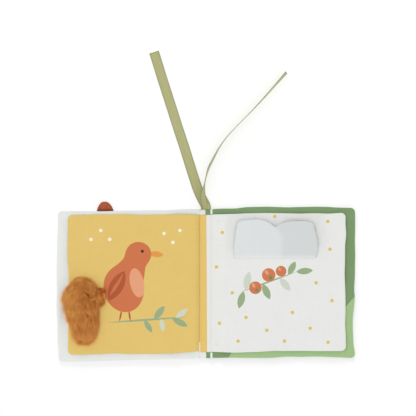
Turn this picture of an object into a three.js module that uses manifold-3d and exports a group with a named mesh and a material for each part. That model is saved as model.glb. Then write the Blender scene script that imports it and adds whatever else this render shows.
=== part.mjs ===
// A baby's cloth activity book, lying open at its centre spread with both covers flat.
// Millimetres, +Z up, +Y towards the pages' top edge, +X from the front cover to the back cover.
// The origin is the middle of the book's footprint, ear tab included, on the surface it lies on.
import * as THREE from "three";
import { mergeVertices } from "three/addons/utils/BufferGeometryUtils.js";
import Module from "manifold-3d";

// Driving dimensions of the padded panels. A reach runs from the middle of the spine.
const coverReach = 150;
const coverHeight = 150;
const coverThickness = 4.4;
const coverCorner = 4.2;
const leafReach = 141;
const leafHeight = 141.5;
const leafThickness = 4;
const leafCorner = 4.2;

// Cloth, wadding and the way a panel's edge is turned and sewn.
const clothThickness = 0.6;
const layerGap = 0.3;
const edgeRoll = 7;
const seamRoll = 9;
const waddingInset = 4.5;
const panelSteps = 12;
const waddingSteps = 8;

// The spine between the two lines of stitching that hold covers and leaves.
const seamSpacing = 11.9;
const seamClearance = 0.55;
const seamLift = 0.05;
const seamEndMargin = 0.6;
const threadRadius = 0.25;
const threadSides = 8;
const spineDrop = 0.45;
const spineDepth = 1.85;
const spineSag = 0.9;
const gutterThickness = 0.55;

// The lobed flap on the right leaf. Its stitched edge is level with flapHingeHeight.
const flapWidth = 84.8;
const flapReach = 39;
const flapCloth = 0.4;
const flapCentre = 71.6;
const flapHingeHeight = 25.7;
const flapStitchInset = 2.5;

// The plush tail on the left leaf, sewn down at its root.
const tailLength = 66;
const tailWidth = 37;
const tailThickness = 14;
const tailBend = 1.6;
const tailCentre = 122.6;
const tailTopHeight = 5.4;
const tailRings = 14;
const tailSides = 20;
const rootReach = 101.4;
const rootHeight = -13.2;
const rootWidth = 18;
const rootEndWidth = 15;
const rootThickness = 5.4;
const rootLength = 11;

// How far the round undersides of the tail and of its root are flattened where they lie on the page.
const tailSink = 2;
const rootSink = 0.6;

// The ear-shaped velour tab caught in the front cover's top seam.
const earWidth = 16.3;
const earReach = 9.3;
const earCentre = 101.5;
const earCloth = 0.9;

// The two ribbon ties, whose joined end is caught in the spine's top seam.
const ribbonWidth = 10;
const ribbonThickness = 0.4;
const ribbonSteps = 44;
const ribbonCentre = 0.4;
const anchorLength = 9;
const anchorThickness = 0.8;
const anchorWidth = 9;

// Colours and finishes.
const paleCloth = new THREE.MeshStandardMaterial({ color: 0xdfdfda, roughness: 0.9, metalness: 0 });
const greenCloth = new THREE.MeshStandardMaterial({ color: 0x83a36f, roughness: 0.9, metalness: 0 });
const yellowCloth = new THREE.MeshStandardMaterial({ color: 0xe1c474, roughness: 0.9, metalness: 0 });
const whiteCloth = new THREE.MeshStandardMaterial({ color: 0xe8e6e3, roughness: 0.9, metalness: 0 });
const flapLinen = new THREE.MeshStandardMaterial({ color: 0xdce0e1, roughness: 0.9, metalness: 0 });
const fibreFill = new THREE.MeshStandardMaterial({ color: 0xf4f2ec, roughness: 1, metalness: 0 });
const sewingThread = new THREE.MeshStandardMaterial({ color: 0xf2f0ea, roughness: 0.7, metalness: 0 });
const rustPlush = new THREE.MeshStandardMaterial({ color: 0xb06731, roughness: 1, metalness: 0 });
const rustVelour = new THREE.MeshStandardMaterial({ color: 0x9a543c, roughness: 1, metalness: 0 });
const oliveRibbon = new THREE.MeshStandardMaterial({ color: 0xb4b383, roughness: 0.7, metalness: 0 });

// Levels and places that follow from the driving dimensions.
const hingeX = seamSpacing / 2;
const hingeZ = coverThickness;
const panelStart = hingeX + seamClearance;
const rimHalf = clothThickness + layerGap / 2;
const leafLow = coverThickness + layerGap;
const leafHigh = leafLow + leafThickness;
const onPage = leafHigh + layerGap;
const spineHalf = hingeX - seamClearance;
const liningTop = hingeZ - spineDrop;
const spineFillTop = liningTop - clothThickness - layerGap;
const spineOuterTop = liningTop - spineDepth;
const coverEdge = coverHeight / 2;

const wasm = await Module();
wasm.setup();

// A closed three.js geometry as a solid for a boolean.
function toSolid(geometry) {
  const bare = geometry.clone();
  bare.deleteAttribute("normal");
  bare.deleteAttribute("uv");
  const merged = mergeVertices(bare);
  return new wasm.Manifold(
    new wasm.Mesh({
      numProp: 3,
      vertProperties: new Float32Array(merged.attributes.position.array),
      triVerts: new Uint32Array(merged.index.array),
    }),
  );
}

// The result of a boolean as a three.js geometry.
function toGeometry(solid) {
  const mesh = solid.getMesh();
  const geometry = new THREE.BufferGeometry();
  geometry.setAttribute("position", new THREE.BufferAttribute(mesh.vertProperties, mesh.numProp));
  geometry.setIndex(new THREE.BufferAttribute(mesh.triVerts, 1));
  geometry.computeVertexNormals();
  return geometry;
}

function named(name, geometry, material) {
  const mesh = new THREE.Mesh(geometry, material);
  mesh.name = name;
  return mesh;
}

// A quarter round: 0 at a panel's edge, 1 from a roll's width inwards.
function rolled(distance, roll) {
  const left = 1 - Math.min(distance / roll, 1);
  return Math.sqrt(1 - left * left);
}

// The under side and the top side of a padded panel over the point (x, y).
// At the rim the two cloths meet at mid height, and they part along a quarter round.
function panelLevels(panel, x, y) {
  const fromSeam = x - panelStart;
  const puff =
    rolled(panel.reach - x, edgeRoll) *
    rolled(fromSeam, seamRoll) *
    rolled(panel.half - Math.abs(y), edgeRoll);
  const middle = THREE.MathUtils.lerp(panel.seamMiddle, panel.rimMiddle, Math.min(fromSeam / seamRoll, 1));
  return {
    low: THREE.MathUtils.lerp(middle - rimHalf, panel.low, puff),
    high: THREE.MathUtils.lerp(middle + rimHalf, panel.high, puff),
  };
}

// Draws the point (x, y) of a sharp corner in to the quarter circle of the panel's corner.
function roundCorner(x, y, centre, halfX, halfY, radius) {
  const overX = Math.abs(x - centre) - (halfX - radius);
  const overY = Math.abs(y) - (halfY - radius);
  if (overX <= 0 || overY <= 0) return [x, y];
  const pull = Math.max(overX, overY) / Math.hypot(overX, overY);
  return [
    centre + Math.sign(x - centre) * (halfX - radius + overX * pull),
    Math.sign(y) * (halfY - radius + overY * pull),
  ];
}

// One layer of a padded panel: a slab of grid cells, closer together towards the edges,
// whose two faces are given by layer(levels) for each point.
function panelLayer(panel, inset, steps, layer) {
  const halfX = (panel.reach - panelStart) / 2 - inset;
  const halfY = panel.half - inset;
  const centre = (panel.reach + panelStart) / 2;
  const slab = new THREE.BoxGeometry(1, 1, 1, steps, steps, 1);
  const position = slab.attributes.position;
  for (let i = 0; i < position.count; i++) {
    const x = centre + halfX * Math.sin(Math.PI * position.getX(i));
    const y = halfY * Math.sin(Math.PI * position.getY(i));
    const faces = layer(panelLevels(panel, x, y));
    const [roundX, roundY] = roundCorner(x, y, centre, halfX, halfY, panel.corner);
    position.setXYZ(i, roundX, roundY, position.getZ(i) > 0 ? faces.top : faces.bottom);
  }
  slab.computeVertexNormals();
  return slab;
}

// The three layers of one padded panel: the under cloth, the wadding and the top cloth.
function paddedPanel(panel, names, materials) {
  const group = new THREE.Group();
  const under = panelLayer(panel, 0, panelSteps, ({ low }) => ({
    bottom: low,
    top: low + clothThickness,
  }));
  const fill = panelLayer(panel, waddingInset, waddingSteps, ({ low, high }) => ({
    bottom: low + clothThickness + layerGap,
    top: high - clothThickness - layerGap,
  }));
  const over = panelLayer(panel, 0, panelSteps, ({ high }) => ({
    bottom: high - clothThickness,
    top: high,
  }));
  group.add(named(names.under, under, materials.under));
  group.add(named(names.fill, fill, fibreFill));
  group.add(named(names.over, over, materials.over));
  return group;
}

const coverPanel = {
  reach: coverReach,
  half: coverEdge,
  corner: coverCorner,
  low: 0,
  high: coverThickness,
  rimMiddle: coverThickness / 2,
  seamMiddle: hingeZ - layerGap - rimHalf,
};

const leafPanel = {
  reach: leafReach,
  half: leafHeight / 2,
  corner: leafCorner,
  low: leafLow,
  high: leafHigh,
  rimMiddle: (leafLow + leafHigh) / 2,
  seamMiddle: hingeZ + seamLift + rimHalf,
};

// The front cover and the left leaf are the mirror image of the back cover and the right leaf.
function leftHalf() {
  const half = new THREE.Group();
  half.scale.x = -1;
  half.add(
    paddedPanel(
      coverPanel,
      { under: "front_cover_outer", fill: "front_cover_wadding", over: "front_cover_lining" },
      { under: paleCloth, over: paleCloth },
    ),
  );
  half.add(
    paddedPanel(
      leafPanel,
      { under: "left_leaf_reverse", fill: "left_leaf_wadding", over: "left_leaf_face" },
      { under: whiteCloth, over: yellowCloth },
    ),
  );
  return half;
}

function rightHalf() {
  const half = new THREE.Group();
  half.add(
    paddedPanel(
      coverPanel,
      { under: "back_cover_outer", fill: "back_cover_wadding", over: "back_cover_lining" },
      { under: greenCloth, over: greenCloth },
    ),
  );
  half.add(
    paddedPanel(
      leafPanel,
      { under: "right_leaf_reverse", fill: "right_leaf_wadding", over: "right_leaf_face" },
      { under: whiteCloth, over: whiteCloth },
    ),
  );
  return half;
}

// A strip along the spine, from the section's outline in X and Z and its two ends in Y.
function spineStrip(outline, bottomEnd, topEnd) {
  const strip = new THREE.ExtrudeGeometry(outline, {
    depth: topEnd - bottomEnd,
    bevelEnabled: false,
    curveSegments: 8,
  });
  strip.rotateX(Math.PI / 2);
  strip.translate(0, topEnd, 0);
  return strip;
}

// A section with a bottom that sags by spineSag in its middle, under a top that sags by topSag.
function saggingSection(halfWidth, bottom, top, topSag) {
  const section = new THREE.Shape();
  section.moveTo(-halfWidth, bottom);
  section.quadraticCurveTo(0, bottom - 2 * spineSag, halfWidth, bottom);
  section.lineTo(halfWidth, top);
  section.quadraticCurveTo(0, top - 2 * topSag, -halfWidth, top);
  section.closePath();
  return section;
}

function flatSection(halfWidth, bottom, top) {
  const section = new THREE.Shape();
  section.moveTo(-halfWidth, bottom);
  section.lineTo(halfWidth, bottom);
  section.lineTo(halfWidth, top);
  section.lineTo(-halfWidth, top);
  section.closePath();
  return section;
}

// A line of stitching, as the round thread that fills it.
function stitchLine(length) {
  return new THREE.CylinderGeometry(threadRadius, threadRadius, length, threadSides);
}

// The cover's cloth and wadding between the seams, and the folio's cloth that lies on them.
function spine() {
  const group = new THREE.Group();
  const outer = saggingSection(spineHalf, spineOuterTop - clothThickness, spineOuterTop, spineSag);
  const fill = saggingSection(spineHalf, spineOuterTop + layerGap, spineFillTop, 0);
  const lining = flatSection(spineHalf, liningTop - clothThickness, liningTop);
  const gutterLow = liningTop + layerGap;
  const gutter = flatSection(spineHalf, gutterLow, gutterLow + gutterThickness);
  const leafEdge = leafHeight / 2;
  const fillEnd = coverEdge - anchorLength - layerGap;
  group.add(named("spine_outer", spineStrip(outer, -coverEdge, coverEdge), paleCloth));
  group.add(named("spine_wadding", spineStrip(fill, -coverEdge, fillEnd), fibreFill));
  group.add(named("spine_lining", spineStrip(lining, -coverEdge, coverEdge), paleCloth));
  group.add(named("gutter_strip", spineStrip(gutter, -leafEdge, leafEdge), yellowCloth));
  for (const [name, side] of [["seam_thread_left", -1], ["seam_thread_right", 1]]) {
    const thread = named(name, stitchLine(coverHeight - 2 * seamEndMargin), sewingThread);
    thread.position.set(side * hingeX, 0, hingeZ);
    group.add(thread);
  }
  return group;
}

// The flap's outline over its stitched edge: a low and a high lobe with a notch between them.
const flapShares = {
  leftTop: [0.038, 0.896],
  leftCrest: [0.21, 1],
  notch: [0.486, 0.813],
  rightCrest: [0.749, 0.961],
  rightTop: [0.934, 0.883],
  rightFoot: [0.97, 0],
  rightBulge: 1.02,
  rightBulgeLevel: 0.45,
  leftShoulder: 0.06,
  leftRun: 0.4,
  rightRun: 0.57,
  rightShoulder: 0.9,
};

function flapOutline() {
  const foot = seamClearance;
  const height = flapReach - foot;
  const s = flapShares;
  const x = (share) => (share - 1 / 2) * flapWidth;
  const y = (share) => foot + share * height;
  const outline = new THREE.Shape();
  outline.moveTo(x(0), y(0));
  outline.quadraticCurveTo(x(0), y(1 / 2), x(s.leftTop[0]), y(s.leftTop[1]));
  outline.quadraticCurveTo(x(s.leftShoulder), y(1), x(s.leftCrest[0]), y(s.leftCrest[1]));
  outline.quadraticCurveTo(x(s.leftRun), y(1), x(s.notch[0]), y(s.notch[1]));
  outline.quadraticCurveTo(x(s.rightRun), y(s.rightCrest[1]), x(s.rightCrest[0]), y(s.rightCrest[1]));
  outline.quadraticCurveTo(x(s.rightShoulder), y(s.rightCrest[1]), x(s.rightTop[0]), y(s.rightTop[1]));
  outline.quadraticCurveTo(x(s.rightBulge), y(s.rightBulgeLevel), x(s.rightFoot[0]), y(s.rightFoot[1]));
  outline.closePath();
  return outline;
}

// The flap lies open, turned up from its stitched edge, and is two cloths thick.
function flap() {
  const group = new THREE.Group();
  const cloth = { depth: flapCloth, bevelEnabled: false, curveSegments: 6 };
  const backing = named("flap_backing", new THREE.ExtrudeGeometry(flapOutline(), cloth), flapLinen);
  const face = named("flap_face", new THREE.ExtrudeGeometry(flapOutline(), cloth), flapLinen);
  face.position.z = flapCloth + layerGap;
  const stitchLength = flapWidth - 2 * flapStitchInset;
  const stitching = named("flap_stitching", stitchLine(stitchLength), sewingThread);
  stitching.rotation.z = Math.PI / 2;
  stitching.position.z = flapCloth + layerGap / 2;
  group.add(backing, face, stitching);
  group.position.set(flapCentre, flapHingeHeight, onPage);
  return group;
}

// Half widths of the tail from its tip to its top, each at a share of its length.
const tailShares = [
  [0, 0],
  [0.08, 0.46],
  [0.2, 0.68],
  [0.35, 0.8],
  [0.5, 0.92],
  [0.62, 1],
  [0.75, 1],
  [0.87, 0.82],
  [0.95, 0.52],
  [1, 0],
];

// The tail's stuffed body swells towards its top and tapers to its tip.
function tailBody() {
  const profile = new THREE.SplineCurve(
    tailShares.map(([along, half]) => new THREE.Vector2((half * tailWidth) / 2, along * tailLength)),
  );
  const points = profile.getPoints(tailRings);
  points[0].x = 0;
  points[points.length - 1].x = 0;
  const body = new THREE.LatheGeometry(points, tailSides);
  body.scale(1, 1, tailThickness / tailWidth);
  const position = body.attributes.position;
  for (let i = 0; i < position.count; i++) {
    const along = position.getY(i) / tailLength;
    position.setX(i, position.getX(i) - tailBend * Math.sin(Math.PI * along));
  }
  body.translate(-tailCentre, tailTopHeight - tailLength, onPage + tailThickness / 2 - tailSink);
  return body;
}

// The short root that runs from the tail's side to its stitching.
function tailRoot() {
  const root = new THREE.CylinderGeometry(rootEndWidth / 2, rootWidth / 2, rootLength, tailSides);
  root.rotateZ(-Math.PI / 2);
  root.scale(1, 1, rootThickness / rootWidth);
  const end = rootReach + threadRadius + layerGap;
  root.translate(-end - rootLength / 2, rootHeight, onPage + rootThickness / 2 - rootSink);
  return root;
}

function plushTail() {
  const joined = toSolid(tailBody()).add(toSolid(tailRoot()));
  const below = new THREE.BoxGeometry(2 * tailWidth, 2 * tailLength, tailThickness);
  below.translate(-tailCentre, tailTopHeight - tailLength / 2, onPage - tailThickness / 2);
  return toGeometry(joined.subtract(toSolid(below)));
}

function tail() {
  const group = new THREE.Group();
  group.add(named("plush_tail", plushTail(), rustPlush));
  const stitching = named("tail_stitching", stitchLine(rootEndWidth), sewingThread);
  stitching.position.set(-rootReach, rootHeight, onPage + threadRadius);
  group.add(stitching);
  return group;
}

// The ear's outline over the cover's edge, with a straight outer flank and a round tip.
const earShares = {
  flank: [0.22, 0.78],
  shoulder: 0.29,
  tip: 0.48,
  slope: 0.66,
  fall: [0.82, 0.56],
};

function earOutline() {
  const s = earShares;
  const height = earReach - layerGap;
  const x = (share) => (share - 1 / 2) * earWidth;
  const y = (share) => layerGap + share * height;
  const outline = new THREE.Shape();
  outline.moveTo(x(0), y(0));
  outline.lineTo(x(s.flank[0]), y(s.flank[1]));
  outline.quadraticCurveTo(x(s.shoulder), y(1), x(s.tip), y(1));
  outline.quadraticCurveTo(x(s.slope), y(1), x(s.fall[0]), y(s.fall[1]));
  outline.lineTo(x(1), y(0));
  outline.closePath();
  return outline;
}

function earTab() {
  const group = new THREE.Group();
  const cloth = { depth: earCloth, bevelEnabled: false, curveSegments: 8 };
  const back = named("ear_back", new THREE.ExtrudeGeometry(earOutline(), cloth), rustVelour);
  const front = named("ear_front", new THREE.ExtrudeGeometry(earOutline(), cloth), rustVelour);
  back.position.z = -earCloth - layerGap / 2;
  front.position.z = layerGap / 2;
  group.add(back, front);
  group.position.set(-earCentre, coverEdge, coverThickness / 2);
  return group;
}

// The ties' middle lines, from where they leave the spine's top seam, and each point's lean:
// the angle in degrees by which the ribbon stands away from lying flat.
const leftTie = [
  [0, 0, 2.3, 0],
  [0, 1.4, 2.1, 0],
  [-0.3, 3.5, 1.6, 0],
  [-1.8, 6.4, 1, 0],
  [-5.1, 12.8, 0.5, 0],
  [-8.3, 20.2, 0.35, 0],
  [-11.1, 28.4, 0.3, 0],
  [-14.5, 39, 0.3, 0],
  [-18, 50.3, 0.3, 0],
  [-22.3, 64, 0.3, 0],
  [-26.8, 77.6, 0.3, 0],
  [-31.2, 91.4, 0.3, 0],
  [-35.6, 105.2, 0.3, 0],
  [-40, 119, 0.3, 0],
  [-44.4, 132.7, 0.3, 0],
  [-48.5, 146, 0.3, 0],
  [-52.7, 159.5, 0.3, 0],
];

const rightTie = [
  [0, 0, 3.1, 0],
  [0, 1.4, 3.4, 3],
  [-0.6, 3.4, 4.5, 20],
  [-1.5, 6.2, 5.5, 40],
  [-2.4, 9.4, 5.7, 52],
  [-3, 14.2, 5.4, 62],
  [-2.5, 19.4, 5.1, 76],
  [-1.7, 24.8, 5.2, 90],
  [0, 32.8, 5.2, 90],
  [2.6, 41.6, 5.2, 90],
  [7.4, 51.4, 5.2, 90],
  [13.1, 62, 5.2, 90],
  [20.4, 72.4, 5.2, 90],
  [29.5, 82.5, 5.2, 90],
  [38, 91.2, 5.2, 90],
  [46.4, 99.7, 5.2, 90],
  [60.9, 115.4, 5.2, 90],
  [71, 126.8, 5.2, 90],
  [81.5, 138.7, 5.2, 90],
];

// A flat ribbon along a middle line. Its breadth turns with the lean, its outer edge downwards.
function ribbon(points) {
  const line = new THREE.CatmullRomCurve3(points.map(([x, y, z]) => new THREE.Vector3(x, y, z)));
  const leans = new THREE.CatmullRomCurve3(points.map((point) => new THREE.Vector3(point[3], 0, 0)));
  const up = new THREE.Vector3(0, 0, 1);
  const strip = new THREE.BoxGeometry(1, 1, 1, 1, ribbonSteps, 1);
  const position = strip.attributes.position;
  const corner = new THREE.Vector3();
  for (let i = 0; i < position.count; i++) {
    corner.fromBufferAttribute(position, i);
    const along = corner.y + 1 / 2;
    const middle = line.getPoint(along);
    const tangent = line.getTangent(along);
    const lean = THREE.MathUtils.degToRad(leans.getPoint(along).x);
    const across = new THREE.Vector3().crossVectors(tangent, up).normalize();
    across.applyAxisAngle(tangent, lean);
    const normal = new THREE.Vector3().crossVectors(across, tangent).normalize();
    middle.addScaledVector(across, corner.x * ribbonWidth);
    middle.addScaledVector(normal, corner.z * ribbonThickness);
    position.setXYZ(i, middle.x, middle.y, middle.z);
  }
  strip.computeVertexNormals();
  return strip;
}

function ribbonTies() {
  const group = new THREE.Group();
  const anchor = new THREE.BoxGeometry(anchorWidth, anchorLength, anchorThickness);
  anchor.translate(0, -anchorLength / 2 - layerGap, spineFillTop - anchorThickness / 2);
  group.add(named("ribbon_anchor", anchor, oliveRibbon));
  group.add(named("ribbon_left", ribbon(leftTie), oliveRibbon));
  group.add(named("ribbon_right", ribbon(rightTie), oliveRibbon));
  group.position.set(ribbonCentre, coverEdge + layerGap, 0);
  return group;
}

// The whole book, moved so that the middle of its footprint is at the origin.
const book = new THREE.Group();
book.add(leftHalf(), rightHalf(), spine(), flap(), tail(), earTab(), ribbonTies());
book.position.y = -earReach / 2;

export default book;
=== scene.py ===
"""Baby activity book of soft cloth, lying open on a table.

A padded cover holds two padded pages, sewn in by two seams beside the spine. One page carries a plush tail,
the other a lobed flap. An ear tab and two ribbon ties stick out of the cover's top edge. Sizes are in
millimetres, and each mesh is turned into metres as it is made.
"""

import math

import bpy
import numpy as np
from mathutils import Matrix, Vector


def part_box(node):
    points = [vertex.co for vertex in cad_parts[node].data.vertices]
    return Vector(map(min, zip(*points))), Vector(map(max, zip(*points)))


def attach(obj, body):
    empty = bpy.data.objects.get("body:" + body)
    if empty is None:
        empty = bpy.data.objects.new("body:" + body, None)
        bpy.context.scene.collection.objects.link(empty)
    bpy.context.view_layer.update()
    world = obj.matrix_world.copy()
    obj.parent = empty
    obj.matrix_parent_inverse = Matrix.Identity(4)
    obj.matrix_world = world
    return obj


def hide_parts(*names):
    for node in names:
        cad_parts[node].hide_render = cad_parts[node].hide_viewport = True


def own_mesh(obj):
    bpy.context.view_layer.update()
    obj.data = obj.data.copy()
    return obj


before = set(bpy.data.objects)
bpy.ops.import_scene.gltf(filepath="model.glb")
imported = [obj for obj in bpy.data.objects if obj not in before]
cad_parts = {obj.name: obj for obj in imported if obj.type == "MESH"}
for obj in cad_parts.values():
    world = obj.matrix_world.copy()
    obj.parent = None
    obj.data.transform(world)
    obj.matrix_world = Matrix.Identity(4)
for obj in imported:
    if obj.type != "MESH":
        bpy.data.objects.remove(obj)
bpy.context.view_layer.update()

# The camera looks straight down on the open book and its ribbons.
# It stands far off with a long lens, so that hardly any perspective shows.
view_width = 421.6
view_centre = (2.5, 71.8)
camera_height = 3000
page_height = 7
camera_data = bpy.data.cameras.new("camera")
camera_data.sensor_width = 36
camera_data.lens = camera_data.sensor_width * (camera_height - page_height) / view_width
camera = bpy.data.objects.new("camera", camera_data)
camera.location = (view_centre[0] / 1000, view_centre[1] / 1000, camera_height / 1000)
bpy.context.scene.collection.objects.link(camera)
bpy.context.scene.camera = camera
bpy.context.scene.view_settings.view_transform = "Standard"


# Studio: a white table that glows a little, soft light from all round, a large lamp above on the left, and
# a weak low lamp behind for the table alone, which leaves the faint shadow below the book's edge.
def srgb(red, green, blue):
    """A colour from its 0 to 255 values, as the linear values that shaders take."""
    share = (np.array([red, green, blue]) / 255 + 0.055) / 1.055
    return (*(share**2.4), 1)


def soft_light(name, place, size, power):
    """A square lamp in metres and watts, turned to face the book."""
    data = bpy.data.lights.new(name, "AREA")
    data.size = size
    data.energy = power
    lamp = bpy.data.objects.new(name, data)
    lamp.location = place
    lamp.visible_camera = False
    lamp.rotation_euler = lamp.location.to_track_quat("Z", "Y").to_euler()
    bpy.context.scene.collection.objects.link(lamp)
    return lamp


overhead_light = soft_light("overhead_light", (-0.5, -0.2, 1.85), 1.0, 6.8)
table_light = soft_light("table_light", (-0.2, 1.8, 1.17), 0.42, 15.5)

world = bpy.data.worlds.new("studio")
world.use_nodes = True
world.node_tree.nodes["Background"].inputs["Color"].default_value = (1, 1, 1, 1)
world.node_tree.nodes["Background"].inputs["Strength"].default_value = 0.86
bpy.context.scene.world = world

table_material = bpy.data.materials.new("white_table")
table_material.use_nodes = True
table_surface = table_material.node_tree.nodes["Principled BSDF"]
for socket, value in {"Base Color": (0.5, 0.5, 0.5, 1), "Roughness": 0.9, "Specular IOR Level": 0,
                      "Emission Color": (1, 1, 1, 1), "Emission Strength": 0.5}.items():
    table_surface.inputs[socket].default_value = value
table_half, table_level = 12, -0.0002
sides = (-1, -1), (1, -1), (1, 1), (-1, 1)
table_corners = [(x * table_half, y * table_half, table_level) for x, y in sides]
table_mesh = bpy.data.meshes.new("table")
table_mesh.from_pydata(table_corners, [], [(0, 1, 2, 3)])
table_mesh.materials.append(table_material)
table = bpy.data.objects.new("table", table_mesh)
bpy.context.scene.collection.objects.link(table)
for lamp, state in ((overhead_light, "EXCLUDE"), (table_light, "INCLUDE")):
    lit = bpy.data.collections.new(lamp.name + "_receivers")
    lit.objects.link(table)
    lit.collection_objects[0].light_linking.link_state = state
    lamp.light_linking.receiver_collection = lit


# Ribbon ties: two lengths of olive woven ribbon, caught together in the top seam of the spine.
# The left one lies flat on the table; the right one turns on its edge just above the seam.
ribbon_width = 10
ribbon_thickness = 0.4
ribbon_cup = 0.2
ribbon_steps, ribbon_columns = 260, 13
# Beyond this distance from the seam the ribbons are a little darker, at their cut ends.
cut_end_start = 167.6
ribbon_exit = (0.4, 70.65)
# Each point: how far to the right and up from the seam, the height, and how far the ribbon stands on edge.
left_tie = [
    (0, 0, 2.3, 0), (0, 1.4, 2.1, 0), (-0.3, 3.5, 1.6, 0), (-1.8, 6.4, 1, 0), (-5.1, 12.8, 0.5, 0),
    (-8.3, 20.2, 0.35, 0), (-11.1, 28.4, 0.3, 0), (-14.5, 39, 0.3, 0), (-18, 50.3, 0.3, 0),
    (-22.3, 64, 0.3, 0), (-26.8, 77.6, 0.3, 0), (-31.2, 91.4, 0.3, 0), (-35.6, 105.2, 0.3, 0),
    (-40, 119, 0.3, 0), (-44.4, 132.7, 0.3, 0), (-48.5, 146, 0.3, 0), (-52.7, 159.5, 0.3, 0),
]
right_tie = [
    (0, 0, 3.1, 30), (0, 1.4, 3.4, 36), (-0.6, 3.4, 4.5, 45), (-1.5, 6.2, 5.5, 52), (-2.4, 9.4, 5.7, 56),
    (-3, 14.2, 5.4, 61), (-2.5, 19.4, 5.1, 74), (-1.7, 24.8, 5.2, 84), (0, 32.8, 5.2, 86),
    (2.6, 41.6, 5.2, 80), (7.4, 51.4, 5.2, 81), (13.1, 62, 5.2, 85), (20.4, 72.4, 5.2, 88),
    (29.5, 82.5, 5.2, 90), (38, 91.2, 5.2, 90), (46.4, 99.7, 5.2, 88), (60.9, 115.4, 5.2, 84),
    (71, 126.8, 5.2, 82), (81.5, 138.7, 5.2, 76),
]


def shader(tree, kind, feeds=(), **settings):
    """Adds a shader node; feeds gives its sockets plain values or the sockets that they are linked to."""
    made = tree.nodes.new("ShaderNode" + kind)
    for name, value in settings.items():
        setattr(made, name, value)
    for socket, value in dict(feeds).items():
        if isinstance(value, bpy.types.NodeSocket):
            tree.links.new(value, made.inputs[socket])
        else:
            made.inputs[socket].default_value = value
    return made


def maths(tree, operation, *values):
    """The result of a Math node."""
    return shader(tree, "Math", dict(enumerate(values)), operation=operation).outputs[0]


def mixed(tree, share, first, second):
    """A colour between two others."""
    return shader(tree, "Mix", {0: share, 6: first, 7: second}, data_type="RGBA").outputs[2]


def noise(tree, place, scale, detail, stretch=None, roughness=0.5):
    """Smooth unevenness. stretch multiplies the place first, which draws it out into streaks."""
    if stretch:
        place = shader(tree, "VectorMath", {0: place, 1: stretch}, operation="MULTIPLY").outputs[0]
    feeds = {"Vector": place, "Scale": scale, "Detail": detail, "Roughness": roughness}
    return shader(tree, "TexNoise", feeds).outputs[0]


def waves(tree, value, length):
    """A sine wave of that length."""
    return maths(tree, "SINE", maths(tree, "MULTIPLY", value, 2 * math.pi / length))


def ramp(tree, value, slope, shift):
    """The value times the slope plus the shift, kept between nought and one."""
    return shader(tree, "Clamp", {0: maths(tree, "MULTIPLY_ADD", value, slope, shift)}).outputs[0]


def parts_of(tree, place):
    """The separate coordinates of a place."""
    return shader(tree, "SeparateXYZ", {0: place}).outputs


def cloth_place(tree):
    """The place on the flat cloth, and its separate coordinates."""
    place = shader(tree, "Attribute", attribute_name="cloth").outputs["Vector"]
    return place, parts_of(tree, place)


def finish_of(name, roughness, sheen=0.0):
    """A new material with its node tree and its surface shader."""
    made = bpy.data.materials.new(name)
    made.use_nodes = True
    surface = made.node_tree.nodes["Principled BSDF"]
    surface.inputs["Roughness"].default_value = roughness
    surface.inputs["Specular IOR Level"].default_value = 0.25
    surface.inputs["Sheen Weight"].default_value = sheen
    surface.inputs["Sheen Roughness"].default_value = 0.5
    return made, made.node_tree, surface


def coat(tree, surface, colour, height, strength, depth):
    """Gives the surface its colour and a fine relief, whose depth is in metres."""
    bump = shader(tree, "Bump", {"Strength": strength, "Distance": depth, "Height": height})
    tree.links.new(colour, surface.inputs["Base Color"])
    tree.links.new(bump.outputs[0], surface.inputs["Normal"])


def points_at(*parts):
    """Points from their coordinates, each stretched to the size of them all."""
    return np.stack(np.broadcast_arrays(*parts), -1)


def unit(vectors, least=1e-9):
    """The vectors at length one."""
    return vectors / (np.linalg.norm(vectors, axis=-1, keepdims=True) + least)


def grid_faces(rows, columns, around=False):
    """The four-cornered faces of a grid of points, row by row. With around, each row closes on itself."""
    row = np.arange(rows - 1)[:, None]
    column = np.arange(columns if around else columns - 1)[None, :]
    following = (column + 1) % columns
    corners = [row * columns + column, row * columns + following,
               (row + 1) * columns + following, (row + 1) * columns + column]
    return np.stack(corners, -1).reshape(-1, 4)


def cloth_layer(surface, thickness):
    """A closed layer of cloth: the surface, the same surface one thickness behind it along the normals of
    the grid, and a narrow strip that joins the two edges. Returns the points and the faces. The thickness
    is one number, or a value for each point."""
    rows, columns = surface.shape[:2]
    thickness = np.broadcast_to(thickness, (rows, columns))[..., None]
    normal = unit(np.cross(np.gradient(surface, axis=1), np.gradient(surface, axis=0)))
    points = np.concatenate([surface.reshape(-1, 3), (surface - thickness * normal).reshape(-1, 3)])
    count = rows * columns
    index = np.arange(count).reshape(rows, columns)
    edge = np.concatenate([index[0, :-1], index[:-1, -1], index[-1, :0:-1], index[:0:-1, 0]])
    following = np.roll(edge, -1)
    front = grid_faces(rows, columns)
    strip = np.stack([following, edge, edge + count, following + count], -1)
    return points, np.concatenate([front, front[:, ::-1] + count, strip])


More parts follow.
